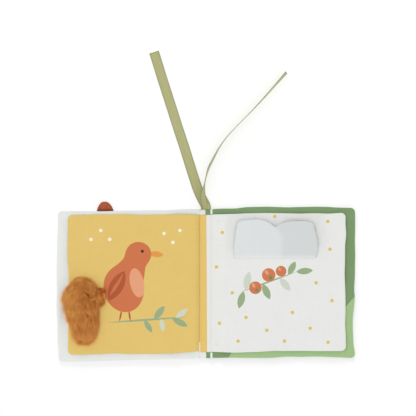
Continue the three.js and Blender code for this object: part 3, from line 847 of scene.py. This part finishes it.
def gutter_level(x):
    """A low arch between the seams, with the groove of the join in it."""
    return 4.7 + 0.8 * (1 - (x / seam_place) ** 2) - 0.25 * np.exp(-((x - page_join) / 0.4) ** 2)


gutter = spine_piece("gutter_cloth", "gutter_strip", across_spine(page_join, 0.3, 12, 9), gutter_level, 4.35,
                     -74.4, 65, 1.5, gutter_cotton, "white_print_cotton", 1, 0.4, pucker=0.05)


# Seams: two lines of white machine stitches through the pages and the cover, sunk into the cloth.
# Where they run out over the cover's margins they are sewn over again, as thicker bars.
thread_finish, tree, surface = finish_of("white_sewing_thread", 0.6, sheen=0.1)
place, parts = cloth_place(tree)
twist = maths(tree, "SINE", maths(tree, "MULTIPLY", maths(tree, "ADD", parts[0], parts[1]), 14))
tone = mixed(tree, maths(tree, "MULTIPLY_ADD", twist, 0.5, 0.5), srgb(252, 252, 246), srgb(238, 238, 230))
coat(tree, surface, tone, twist, 0.6, 0.00005)


def tube_faces(rows, sides):
    """The faces of rings joined into a tube, with a fan round a middle point at either end."""
    here = np.arange(sides)
    following = (here + 1) % sides
    last = (rows - 1) * sides
    caps = [np.stack([np.full(sides, rows * sides), following, here], -1),
            np.stack([np.full(sides, rows * sides + 1), here + last, following + last], -1)]
    return [grid_faces(rows, sides, around=True), np.concatenate(caps)]


def together(shapes, faces):
    """Several closed tubes as one mesh, from their points and their faces."""
    starts = np.cumsum([0] + [len(shape) for shape in shapes])
    return np.concatenate(shapes), [np.concatenate([part + start for part, start in zip(kind, starts)])
                                    for kind in zip(*faces)]


def stitches(starts, ends, thickness, rise=0.12, sink=0.3):
    """One closed stitch from each start to its end: a round thread of that thickness whose middle lies a
    little above the straight line and whose ends dip into the cloth, both as the fourth power along it."""
    rows, sides = 7, 8
    along = ends - starts
    length = np.linalg.norm(along, axis=1, keepdims=True)
    along /= length
    up = np.broadcast_to((0.0, 0.0, 1.0), along.shape)
    across = np.cross(along, up)
    s = np.linspace(-1, 1, rows)
    middle = ((starts + ends) / 2)[:, None] + along[:, None] * (s[None, :, None] * length[:, None] / 2)
    middle = middle + up[:, None] * (rise - (rise + sink) * s**4)[None, :, None]
    angle = np.linspace(0, 2 * math.pi, sides, endpoint=False)[None, None, :, None]
    radius = (thickness / 2 * (1 - 0.5 * s**6))[None, :, None, None]
    ring = across[:, None, None] * np.cos(angle) - up[:, None, None] * np.sin(angle)
    tube = middle[:, :, None] + radius * ring
    count = len(starts)
    points = np.concatenate([tube.reshape(count, -1, 3), middle[:, :1] - along[:, None] * thickness * 0.2,
                             middle[:, -1:] + along[:, None] * thickness * 0.2], 1)
    shift = (np.arange(count) * points.shape[1])[:, None, None]
    quads, caps = tube_faces(rows, sides)
    return points.reshape(-1, 3), [(quads + shift).reshape(-1, 4), (caps + shift).reshape(-1, 3)]


def seam_stitches(name, node, x, bars):
    """The stitches along one seam; bars are the stretches that were sewn over again, as their low and high
    end, their half width and their level."""
    step, gap, thread, bar_pitch = 2.5, 0.35, 0.42, 0.34
    low = np.arange(-78.6, 67, step)
    chance = np.random.default_rng(int(40 + x))
    level = np.where((low > -75) & (low + step < 66), 4.2, 4)
    starts = points_at(x + chance.uniform(-0.06, 0.06, len(low)), low + gap / 2, level)
    groups = [stitches(starts, starts + (0, step - gap, 0), thread, rise=0.05)]
    for first, last, half, height in bars:
        y = np.linspace(first, last, int((last - first) / bar_pitch))
        reach = half * chance.uniform(0.93, 1.05, (2, len(y)))
        groups.append(stitches(points_at(x - reach[0], y, height), points_at(x + reach[1], y + 0.2, height),
                               thread, rise=0.3, sink=0.05))
    new_piece(name, node, "spine", *together(*zip(*groups)), thread_finish, "sewing_thread")


seam_stitches("left_seam_stitches", "seam_thread_left", -seam_place, [(-73.6, -64.4, 0.6, 4.85)])
seam_stitches("right_seam_stitches", "seam_thread_right", seam_place,
              [(-80.2, -75, 1.2, 4.3), (65.6, 70.2, 1.2, 4.3)])


# Flap: two layers of fine pale blue cotton with a lobed top edge, sewn to the page along its bottom edge
# only. It stands a little off the page, its right lobe more than its left, with a soft fold between them.
flap_hinge = 21.05
flap_cloth, flap_depth = 0.35, 0.55
# The flap stays below this level, so that it clears the facing page when the book is closed.
flap_ceiling = 11.68
crest_start, crest_width = 32.4, 76.2
# The fold's foot, the radius of the circle that it bends along, and the bend's start and reach upwards.
fold_foot, fold_radius, bend_start, bend_reach = 63, 14, 40, 12.1
flap_left = edge_line([0, 0.15, 0.57, 0.85, 1], [29.8, 29.4, 30, 31.3, 32.6])
flap_right = edge_line([0, 0.1, 0.22, 0.35, 0.5, 0.66, 0.84, 1],
                       [110.8, 112, 113.1, 113.5, 113, 111.8, 110, 108.6])
flap_crest = edge_line(
    [32.4, 33.4, 35.5, 41, 47.1, 54, 60, 64.5, 68, 70.4, 72.4, 75.5, 82.6, 92.7, 101.9, 106, 108.6],
    [55.6, 57.8, 58.9, 59.7, 60.1, 60, 58.8, 56.7, 54.2, 52.7, 53.6, 55.3, 57.6, 58.6, 58.2, 57.4, 55.9])


def soft_step(value, width):
    """From nought to one about the value nought: one over one plus a falling exponential."""
    return 1 / (1 + np.exp(-value / width))


def height_on(surface, x, y):
    """The level of a surface at each place, from the nearest point of its grid."""
    points = surface.reshape(-1, 3)
    near = np.argmin((points[:, 0] - x[:, None]) ** 2 + (points[:, 1] - y[:, None]) ** 2, axis=1)
    return points[near, 2]


def fold_distance(x, y):
    """Distance to the right of the fold, which runs up from its foot and bends left along a circle."""
    up = np.clip(y - bend_start, 0, bend_reach)
    return x - fold_foot - np.sqrt(fold_radius**2 - up**2)


def flap_surfaces():
    """The flap's front and back over a grid: across from its left to its right edge, and up from the hinge
    to the crest line. The front rises from the stitching along a quarter round and on as one minus a
    falling exponential of the distance, and rolls down by a little to its outline. Its edge stays off the
    page, most of all along the right lobe's crest."""
    s = graded(0, 1, 0.002, 0.012)[None, :]
    t = graded(0, 1, 0.005, 0.03)[:, None]
    left, right = flap_left(t), flap_right(t)
    x = left + s * (right - left)
    crest = flap_crest(crest_start + crest_width * s)
    y = flap_hinge - 0.5 + t * (crest - flap_hinge + 0.5)
    above = y - y[:1]
    fold = fold_distance(x, y)
    more = soft_step(fold, 2.5)
    edge = np.clip(np.minimum(np.minimum(x - left, right - x), crest - y) / 1.5, 0, 1)
    foot = np.sqrt(1 - (1 - np.clip(above / 1.3, 0, 1)) ** 2)
    rise = 1.2 * foot + 1.4 * (1 - np.exp(-above / 8)) + (0.2 + 0.3 * more) * t
    rise = rise - 0.12 * np.exp(-((fold / 2.5) ** 2)) * t + 0.08 * ripple(x, y, 15, 61) * np.clip(t * 3, 0, 1)
    lobe = np.exp(-(((x - 94) / 12) ** 2))
    rim = np.minimum(1.3 + (0.5 * more + 1 * lobe) * np.clip((t - 0.55) / 0.4, 0, 1), 0.9 * rise)
    page = page_under_flap(x)
    front = np.minimum(page + rim + (rise - rim) * rounded(edge, 2.2), flap_ceiling)
    back = np.minimum(np.maximum(front - flap_depth, page - 0.05), front - 0.3)
    return points_at(x, y, front), points_at(x, y, back)


hinge_x = np.linspace(28, 115, 30)
hinge_level = height_on(right_page_top, hinge_x, np.full(30, flap_hinge))
page_under_flap = edge_line(hinge_x, np.convolve(np.pad(hinge_level, 2, "edge"), np.full(5, 0.2), "valid"))


def painted_right_lobe_shade(tree, place, ground):
    """Painted shade: the cloth right of the fold is a little greyer, with a soft edge, as the tilted lobe
    is shaded there. It fades to white at the foot.
    """
    parts = parts_of(tree, place)
    up = maths(tree, "MAXIMUM", maths(tree, "SUBTRACT", parts[1], bend_start), 0)
    up = maths(tree, "MINIMUM", up, bend_reach)
    reach = maths(tree, "SQRT", maths(tree, "SUBTRACT", fold_radius**2, maths(tree, "MULTIPLY", up, up)))
    across = maths(tree, "SUBTRACT", parts[0], maths(tree, "ADD", fold_foot, reach))
    right = maths(tree, "MULTIPLY", ramp(tree, across, 0.17, 0.5), 0.66)
    foot = maths(tree, "MULTIPLY", ramp(tree, parts[1], -0.25, 0.25 * 25), 0.7)
    # The painted shade right of the fold.
    ground = mixed(tree, right, ground, srgb(206, 210, 209))
    return mixed(tree, foot, ground, srgb(233, 234, 232))


flap_cotton = cotton("pale_blue_cotton", srgb(225, 229, 230), srgb(215, 219, 220), pitch=0.35,
                     printed=painted_right_lobe_shade)
flap_front, flap_back = flap_surfaces()
for name, node, surface, finish in (("flap_back_cloth", "flap_backing", flap_back[::-1], white_cotton),
                                    ("flap_front_cloth", "flap_face", flap_front, flap_cotton)):
    shape, faces = cloth_layer(surface, flap_cloth)
    made = new_piece(name, node, "flap", shape, faces, finish, "flap_cotton", shape * (1, 1, 0))
    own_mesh(made)

x = np.arange(31.5, 109, 2.5)
starts = points_at(x, flap_hinge - 0.1, page_under_flap(x) + 0.05)
new_piece("flap_stitches", "flap_stitching", "right_leaf",
          *stitches(starts, starts + (2.1, 0, 0), 0.3, rise=0.05), thread_finish, "sewing_thread")


# Plush tail: a small stuffed bag of long-pile plush, hung from the page by its short root, which is sewn
# on. The pile is ten millimetres long and lies in tufts, from the root over the head and down to the tip.
tail_rows = np.array([-2.7, -4.6, -8.5, -14, -18, -24.4, -30, -37, -43.7, -49.1, -53.7, -57.2, -59.6, -61])
tail_left = np.array([-124, -129.5, -135.5, -140.8, -142.4, -141.8, -140.9, -138.2, -135.4, -133.6, -132.3,
                      -130.6, -128.4, -124])
tail_right = np.array([-124, -117.6, -113, -110.8, -110.4, -110.6, -110.8, -110.8, -110.8, -111.2, -112.8,
                       -115.2, -118.6, -124])
root_place = (-101.4, -17.85)
head_middle = np.array([-124, -19])
tail_height = 10.2
page_top = 8.95


def tail_outline(v):
    """Left edge, right edge and height on the page of the tail, from its head (nought) to its tip (one).
    The rows are placed along half a cosine wave, so that both ends come out round."""
    length = tail_rows[-1] - tail_rows[0]
    places = np.arccos(1 - 2 * (tail_rows - tail_rows[0]) / length) / math.pi
    y = tail_rows[0] + length * (1 - np.cos(math.pi * v)) / 2
    return edge_line(places, tail_left)(v), edge_line(places, tail_right)(v), y


def tail_skin(v, u):
    """The stuffed bag: rings across the tail, each as wide as the outline, flat on the page and domed
    above, where its height follows the sine to the power of one and a half."""
    left, right, y = tail_outline(v)
    half = (right - left) / 2
    thick = tail_height * np.clip(half / 17, 0, 1) ** 0.8
    angle = 2 * math.pi * u
    x = (left + right) / 2 + half * np.cos(angle)
    rise = np.sin(angle)
    z = page_top + thick * np.where(rise > 0, 0.12 + 0.88 * np.abs(rise) ** 1.5, 0.12 + 0.12 * rise)
    return points_at(x, y, z)


def root_skin(v, u):
    """The root: an oval tube from the stitching on the page (nought) into the tail's side (one)."""
    x = root_place[0] - 10 * v
    y = root_place[1] + 1.8 - 3.5 * v
    half = 5.45 + 3.5 * v
    thick = 1 + 2.6 * v**1.2
    angle = 2 * math.pi * u
    z = page_top + 0.25 + thick * (0.75 + np.sin(angle))
    return points_at(x, y - half * np.cos(angle), np.maximum(z, page_top))


plush_finish, tree, surface = finish_of("rust_plush", 0.7, sheen=0.2)
surface.inputs["Sheen Tint"].default_value = srgb(236, 160, 84)
place, parts = cloth_place(tree)
light_pile = mixed(tree, parts[1], srgb(236, 142, 58), srgb(255, 210, 118))
dark_pile = mixed(tree, parts[1], srgb(148, 61, 11), srgb(215, 112, 30))
pile = mixed(tree, parts[0], dark_pile, light_pile)
tree.links.new(pile, surface.inputs["Base Color"])


def closed_tube(rings):
    """Rings as one closed mesh."""
    rows, sides = rings.shape[:2]
    points = np.concatenate([rings.reshape(-1, 3), rings[:1].mean(1), rings[-1:].mean(1)])
    return points, tube_faces(rows, sides)


u = np.arange(40)[None, :] / 40
skins = [closed_tube(tail_skin(np.linspace(0.015, 0.985, 50)[:, None], 1 - u)),
         closed_tube(root_skin(np.linspace(0, 1, 12)[:, None], 1 - u))]
shape, faces = together(*zip(*skins))
tail_bag = new_piece("plush_tail_bag", "plush_tail", "tail", shape, faces, plush_finish, "rust_plush",
                     np.tile((0.1, 0, 0), (len(shape), 1)))


def surface_samples(skin, v, u):
    """Points on a skin and its outward normals there, from small steps along both parameters."""
    step = 1e-3
    point = skin(v, u)
    down = skin(np.clip(v + step, 0, 1), u) - skin(np.clip(v - step, 0, 1), u)
    around = skin(v, u + step) - skin(v, u - step)
    return point, unit(np.cross(around, down))


def scattered(count, root_count, margin, root_margin):
    """Chance points on the upper side of the tail and of its root, and the normals there."""
    v, u = chance.uniform(margin, 1 - margin, count), chance.uniform(-0.06, 0.56, count)
    root_v = chance.uniform(0.15, 0.95, root_count)
    root_u = chance.uniform(-root_margin, 0.5 + root_margin, root_count)
    samples = surface_samples(tail_skin, v, u), surface_samples(root_skin, root_v, root_u)
    return [np.concatenate(both) for both in zip(*samples)]


def pile_strands(point, normal, flow, length, width, roll, bend, curl, rows=5):
    """Flat hairs of a few rows of two points: each leaves along the normal and the flow, bends over into
    the flow, waves from side to side and narrows to a fifth at its tip. Returns points, faces and each
    point's share of the way."""
    t = np.linspace(0, 1, rows)[None, :, None]
    flow = unit(flow - (flow * normal).sum(-1, keepdims=True) * normal)
    side = np.cross(normal, flow)
    length = length[:, None, None]
    wave = 0.12 * np.sin(2 * math.pi * (0.9 * t + curl[:, None, None])) * t
    path = point[:, None] + length * (flow[:, None] * (0.55 * t + 0.4 * t**2) + side[:, None] * wave
                                      + normal[:, None] * bend[:, None, None] * (t - 0.75 * t**2))
    side = side * np.cos(roll)[:, None] + normal * np.sin(roll)[:, None]
    reach = (width[:, None, None] / 2) * (1 - 0.8 * t**1.5)
    points = np.stack([path - side[:, None] * reach, path + side[:, None] * reach], 2)
    count = len(point)
    quads = grid_faces(rows, 2)[None] + (np.arange(count) * 2 * rows)[:, None, None]
    share = np.broadcast_to(t[..., 0], (count, rows)).repeat(2, axis=1)
    return points.reshape(-1, 3), quads.reshape(-1, 4), share.ravel()


def head_share(y):
    """One on the tail's head and nought down its length."""
    return soft_step(y + 24, 4)


def pile_lie(places, turn):
    """The way that the pile lies: round the head against the clock, down over the head's middle, then down
    the tail and down the root, turned by an angle."""
    away = places[:, :2] - head_middle
    distance = np.linalg.norm(away, axis=1, keepdims=True) + 1e-9
    circling = points_at(-away[:, 1], away[:, 0]) / distance
    circling = circling + np.array([0, -1.6]) * np.exp(-((distance / 6) ** 2))
    upper_part = head_share(places[:, 1:2])
    lie = circling * upper_part + np.array([0, -1]) * (1 - upper_part)
    root_part = soft_step(places[:, :1] + 110.5, 1)
    lie = lie * (1 - root_part) + np.array([0.1, -1]) * root_part
    cosine, sine = np.cos(turn), np.sin(turn)
    return points_at(lie[:, 0] * cosine - lie[:, 1] * sine, lie[:, 0] * sine + lie[:, 1] * cosine, 0)


def pile_bands(places):
    """Bands along the lie of the pile, two millimetres broad: waves of the distance from the head's middle
    above, and of the place across the tail below."""
    away = places[:, :2] - head_middle
    distance, turn = np.hypot(*away.T), np.arctan2(away[:, 1], away[:, 0])
    upper_part = head_share(places[:, 1])
    return (upper_part * ripple(5 * distance, 12 * turn, 9, 74)
            + (1 - upper_part) * ripple(5 * places[:, 0] + 0.6 * places[:, 1], places[:, 1], 9, 75))


def pile_tone(places, shades):
    """How light the pile is from nought to one: lighter to the left, as painted light on its lit side, and
    lighter low down; darker on the root's top, and dark with painted shade in the small hollow beside the
    root."""
    x, y = places[:, 0], places[:, 1]
    # Painted light on the left side of the tail, and painted shade in the hollow beside the root.
    light = 0.28 * np.clip((-125 - x) / 12, 0, 1) + 0.2 * np.clip((-38 - y) / 22, 0, 1)
    painted_hollow_shade = np.exp(-(((x + 105.8) / 1.2) ** 2) - ((y + 21) / 2.2) ** 2)
    root_top = np.exp(-(((x + 106.5) / 3) ** 2) - ((y + 12) / 2.5) ** 2)
    return np.clip(0.45 + light + shades - painted_hollow_shade - 0.35 * root_top, 0, 1)


def pile_piece(name, strands, places, shades):
    """A mesh of hairs, kept a little above the page. shades draws by chance how much lighter each is."""
    shape, faces, share = strands
    count, each = len(places), len(shape) // len(places)
    shape[:, 2] = np.maximum(shape[:, 2], page_top + 0.05 + chance.uniform(0, 0.8, count).repeat(each))
    marks = points_at(pile_tone(places, shades()).repeat(each), share, 0)
    return new_piece(name, "plush_tail", "tail", shape, faces, plush_finish, "rust_plush", marks)


# Each hair belongs to the nearest tuft, leans with it and gathers towards its middle.
chance = np.random.default_rng(7)
count, root_count, tuft_count = 19500, 4500, 700
point, normal = scattered(count, root_count, 0.005, 0.02)
tuft = chance.choice(len(point), tuft_count, replace=False)
mine = np.concatenate([np.argmin(((some[:, None] - point[None, tuft]) ** 2).sum(-1), axis=1)
                       for some in np.array_split(point, 12)])
middle = point[tuft][mine]
tuft_turn = 0.4 * ripple(middle[:, 0], middle[:, 1], 12, 71) + chance.normal(0, 0.12, tuft_count)[mine]
lie = pile_lie(middle, tuft_turn + chance.normal(0, 0.06, len(point)))
length = chance.uniform(6, 9.5, len(point))
length[count:] *= 0.6
band = pile_bands(point)
bend = 0.14 * band + chance.uniform(0.35, 0.65, tuft_count)[mine] + chance.normal(0, 0.08, len(point))
loose = chance.random(len(point)) < 0.16
width = chance.uniform(0.2, 0.36, len(point)) * np.where(loose, 0.7, 1)
strands = pile_strands(point, normal, lie, length, width, chance.uniform(-1.1, 1.1, len(point)), bend,
                       chance.uniform(0, 1, tuft_count)[mine] + chance.normal(0, 0.04, len(point)))
shape, faces, share = strands
each = len(shape) // len(point)
gather = (middle - point).repeat(each, axis=0) * (np.where(loose, 0, 0.7).repeat(each) * share**1.3)[:, None]
tail_pile = pile_piece("plush_tail_pile", (shape + gather * (1, 1, 0.3), faces, share), middle,
                       lambda: (0.36 * band + chance.normal(0, 0.23, tuft_count)[mine]
                                + chance.normal(0, 0.08, len(point))))

# Fine loose hairs stand out of the pile, further than the tufts, and make its outline soft.
fuzz_count, root_count = 16000, 1500
point, normal = scattered(fuzz_count, root_count, 0.01, 0)
count = len(point)
lie = pile_lie(point, 0.4 * ripple(point[:, 0], point[:, 1], 12, 71) + chance.normal(0, 0.3, count))
length = chance.uniform(6.5, 10, count) * np.where(np.arange(count) < fuzz_count, 1, 0.6)
strands = pile_strands(point, normal, lie, length, chance.uniform(0.08, 0.14, count),
                       chance.uniform(-1.1, 1.1, count), chance.uniform(0.5, 1.5, count),
                       chance.uniform(0, 1, count), rows=4)
tail_fuzz = pile_piece("plush_tail_fuzz", strands, point,
                       lambda: 0.3 * pile_bands(point) + chance.normal(0.05, 0.15, count))
for made in (tail_bag, tail_pile, tail_fuzz):
    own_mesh(made)

starts = points_at(root_place[0] - 0.6, np.arange(-22.3, -13.2, 1.5), 9.1)
new_piece("tail_root_stitches", "tail_stitching", "left_leaf",
          *stitches(starts, starts + (0.2, 1.2, 0), 0.4, rise=0.1), thread_finish, "sewing_thread")


# Ear tab: two layers of rust velour with a short deep pile, cut as a small ear and caught in the front
# cover's top seam.
ear_foot, ear_steps, ear_cloth = 64.8, 60, 0.35
ear_outline = smooth_line([(-110.4, 65.6, 0), (-110.2, 69.4, 0), (-109, 73.2, 0), (-106.3, 76.9, 0),
                           (-104.3, 78.1, 0), (-102, 78.3, 0), (-99.8, 77.9, 0), (-97.6, 76.4, 0),
                           (-95.2, 73.4, 0), (-93.6, 69.9, 0), (-92.9, 65.6, 0)], ear_steps)[:, :2]


def ear_surface(facing):
    """The ear over a grid: from its foot inside the seam straight to each point of its outline. It is plump
    between, and the two cloths meet at the rim."""
    foot = points_at(np.linspace(-109.6, -93.7, ear_steps), ear_foot)
    t = graded(0, 1, 0.02, 0.06)[:, None, None]
    flat = foot + t * (ear_outline - foot)
    edge = np.sqrt(((flat[:, :, None] - ear_outline) ** 2).sum(-1)).min(-1)
    plump = (1 - np.exp(-edge / 1.3)) * (1 - 0.6 * np.exp(-(((flat[..., 1] - 69.8) / 1.2) ** 2)))
    z = 2.1 + facing * (0.1 + 1.05 * plump + 0.16 * ripple(flat[..., 0], flat[..., 1], 2.6, 95) * plump)
    return np.concatenate([flat, z[..., None]], -1)


velour_finish, tree, surface = finish_of("rust_velour", 0.8, sheen=0.4)
surface.inputs["Sheen Tint"].default_value = srgb(220, 150, 120)
place, parts = cloth_place(tree)
nap = ramp(tree, noise(tree, place, 0.55, 5, roughness=0.65), 3.2, -1.1)
# Painted shade: the ear is darker towards its foot, where it goes into the seam.
painted_foot_shade = maths(tree, "MULTIPLY", ramp(tree, parts[1], -0.7, 0.7 * 71.4), 0.8)
tone = mixed(tree, nap, srgb(142, 68, 34), srgb(184, 98, 66))
coat(tree, surface, mixed(tree, painted_foot_shade, tone, srgb(112, 48, 16)), nap, 0.7, 0.0003)
for name, node, facing in (("ear_back_cloth", "ear_back", -1), ("ear_front_cloth", "ear_front", 1)):
    surface = ear_surface(facing)[::facing]
    shape, faces = cloth_layer(surface, ear_cloth)
    made = new_piece(name, node, "ear_tab", shape, faces, velour_finish, "rust_velour")
